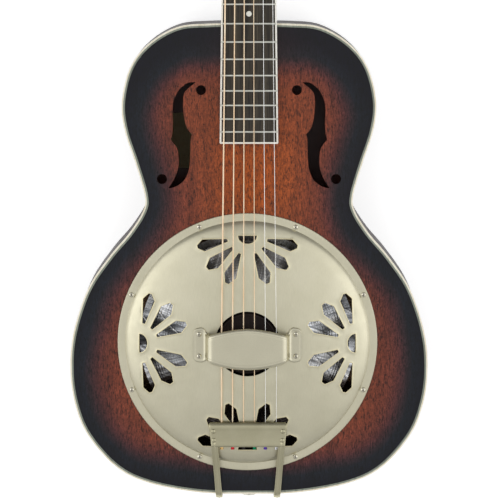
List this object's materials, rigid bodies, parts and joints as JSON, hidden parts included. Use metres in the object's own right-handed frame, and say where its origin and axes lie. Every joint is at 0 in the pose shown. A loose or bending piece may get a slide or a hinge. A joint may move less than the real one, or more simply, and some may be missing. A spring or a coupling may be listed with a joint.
{
  "type": "resonator guitar",
  "caption": "Wooden-bodied resonator guitar: spun metal cone under a domed cover with fan-shaped openings, f-holes, hand rest over the saddle, trapeze tailpiece and geared tuners.",
  "frame": {"origin": "on the outer face of the back, on the guitar's centre line, straight below the middle of the bridge line", "axes": "+Z out of the soundboard, +Y up the neck towards the headstock, +X to the treble side"},
  "size_m": [0.354, 0.9788, 0.1151],
  "materials": {
    "sunburst_mahogany": "gloss",
    "dark_mahogany": "gloss",
    "cream_binding": "satin",
    "black_binding": "satin",
    "raw_wood": "raw",
    "dark_maple": "satin",
    "steel": "plain",
    "bone": "satin",
    "spun_aluminium": "spun",
    "satin_nickel": "satin",
    "rosewood": "oiled",
    "plain_string": "polished",
    "cream_button": "gloss",
    "wound_string": "wound"
  },
  "bodies": {
    "guitar": {"back_binding": "black_binding", "back_lining": "raw_wood", "back_plate": "dark_mahogany", "biscuit": "dark_maple", "biscuit_screw": "steel", "cone_well": "raw_wood", "cover_plate": "satin_nickel", "cover_screw_1": "satin_nickel", "cover_screw_2": "satin_nickel", "cover_screw_3": "satin_nickel", "cover_screw_4": "satin_nickel", "cover_screw_5": "satin_nickel", "cover_screw_6": "satin_nickel", "cover_screw_7": "satin_nickel", "cover_screw_8": "satin_nickel", "fingerboard": "rosewood", "fingerboard_binding": "cream_binding", "fingerboard_riser": "dark_mahogany", "hand_rest": "satin_nickel", "hand_rest_screw_1": "satin_nickel", "hand_rest_screw_2": "satin_nickel", "hand_rest_screw_3": "satin_nickel", "hand_rest_screw_4": "satin_nickel", "neck": "dark_mahogany", "neck_block": "raw_wood", "nut": "bone", "resonator_cone": "spun_aluminium", "saddle": "bone", "side_bass": "dark_mahogany", "side_treble": "dark_mahogany", "soundboard": "sunburst_mahogany", "strap_button": "satin_nickel", "string_1": "plain_string", "string_2": "plain_string", "string_3": "wound_string", "string_4": "wound_string", "string_5": "wound_string", "string_6": "wound_string", "string_retainer": "satin_nickel", "tail_block": "raw_wood", "tailpiece_frame": "satin_nickel", "tailpiece_hinge_pin": "steel", "tailpiece_hinge_plate": "satin_nickel", "top_binding": "cream_binding", "top_lining": "raw_wood", "truss_rod": "steel", "tuner_plate_bass": "satin_nickel", "tuner_plate_treble": "satin_nickel"},
    "key_1": {"tuner_key_1": "cream_button"},
    "post_1": {"tuner_post_1": "satin_nickel"},
    "key_2": {"tuner_key_2": "cream_button"},
    "post_2": {"tuner_post_2": "satin_nickel"},
    "key_3": {"tuner_key_3": "cream_button"},
    "post_3": {"tuner_post_3": "satin_nickel"},
    "key_4": {"tuner_key_4": "cream_button"},
    "post_4": {"tuner_post_4": "satin_nickel"},
    "key_5": {"tuner_key_5": "cream_button"},
    "post_5": {"tuner_post_5": "satin_nickel"},
    "key_6": {"tuner_key_6": "cream_button"},
    "post_6": {"tuner_post_6": "satin_nickel"}
  },
  "joints": [
    {"name": "key_1_turn", "type": "hinge", "parent": "guitar", "child": "key_1", "pos_m": [0.024, 0.67825, 0.04275], "axis": [1, 0, 0], "continuous": true},
    {"name": "post_1_turn", "type": "hinge", "parent": "guitar", "child": "post_1", "pos_m": [0.024, 0.67487, 0.06529], "axis": [0, 0.2588, 0.9659], "continuous": true},
    {"name": "key_2_turn", "type": "hinge", "parent": "guitar", "child": "key_2", "pos_m": [0.024, 0.71882, 0.03188], "axis": [1, 0, 0], "continuous": true},
    {"name": "post_2_turn", "type": "hinge", "parent": "guitar", "child": "post_2", "pos_m": [0.024, 0.71544, 0.05442], "axis": [0, 0.2588, 0.9659], "continuous": true},
    {"name": "key_3_turn", "type": "hinge", "parent": "guitar", "child": "key_3", "pos_m": [0.024, 0.75939, 0.02101], "axis": [1, 0, 0], "continuous": true},
    {"name": "post_3_turn", "type": "hinge", "parent": "guitar", "child": "post_3", "pos_m": [0.024, 0.75601, 0.04355], "axis": [0, 0.2588, 0.9659], "continuous": true},
    {"name": "key_4_turn", "type": "hinge", "parent": "guitar", "child": "key_4", "pos_m": [-0.024, 0.75939, 0.02101], "axis": [-1, 0, 0], "continuous": true},
    {"name": "post_4_turn", "type": "hinge", "parent": "guitar", "child": "post_4", "pos_m": [-0.024, 0.75601, 0.04355], "axis": [0, 0.2588, 0.9659], "continuous": true},
    {"name": "key_5_turn", "type": "hinge", "parent": "guitar", "child": "key_5", "pos_m": [-0.024, 0.71882, 0.03188], "axis": [-1, 0, 0], "continuous": true},
    {"name": "post_5_turn", "type": "hinge", "parent": "guitar", "child": "post_5", "pos_m": [-0.024, 0.71544, 0.05442], "axis": [0, 0.2588, 0.9659], "continuous": true},
    {"name": "key_6_turn", "type": "hinge", "parent": "guitar", "child": "key_6", "pos_m": [-0.024, 0.67825, 0.04275], "axis": [-1, 0, 0], "continuous": true},
    {"name": "post_6_turn", "type": "hinge", "parent": "guitar", "child": "post_6", "pos_m": [-0.024, 0.67487, 0.06529], "axis": [0, 0.2588, 0.9659], "continuous": true}
  ],
  "couplings": [
    {"joint": "post_1_turn", "follows": "key_1_turn", "ratio": 0.071429},
    {"joint": "post_2_turn", "follows": "key_2_turn", "ratio": 0.071429},
    {"joint": "post_3_turn", "follows": "key_3_turn", "ratio": 0.071429},
    {"joint": "post_4_turn", "follows": "key_4_turn", "ratio": -0.071429},
    {"joint": "post_5_turn", "follows": "key_5_turn", "ratio": -0.071429},
    {"joint": "post_6_turn", "follows": "key_6_turn", "ratio": -0.071429}
  ]
}
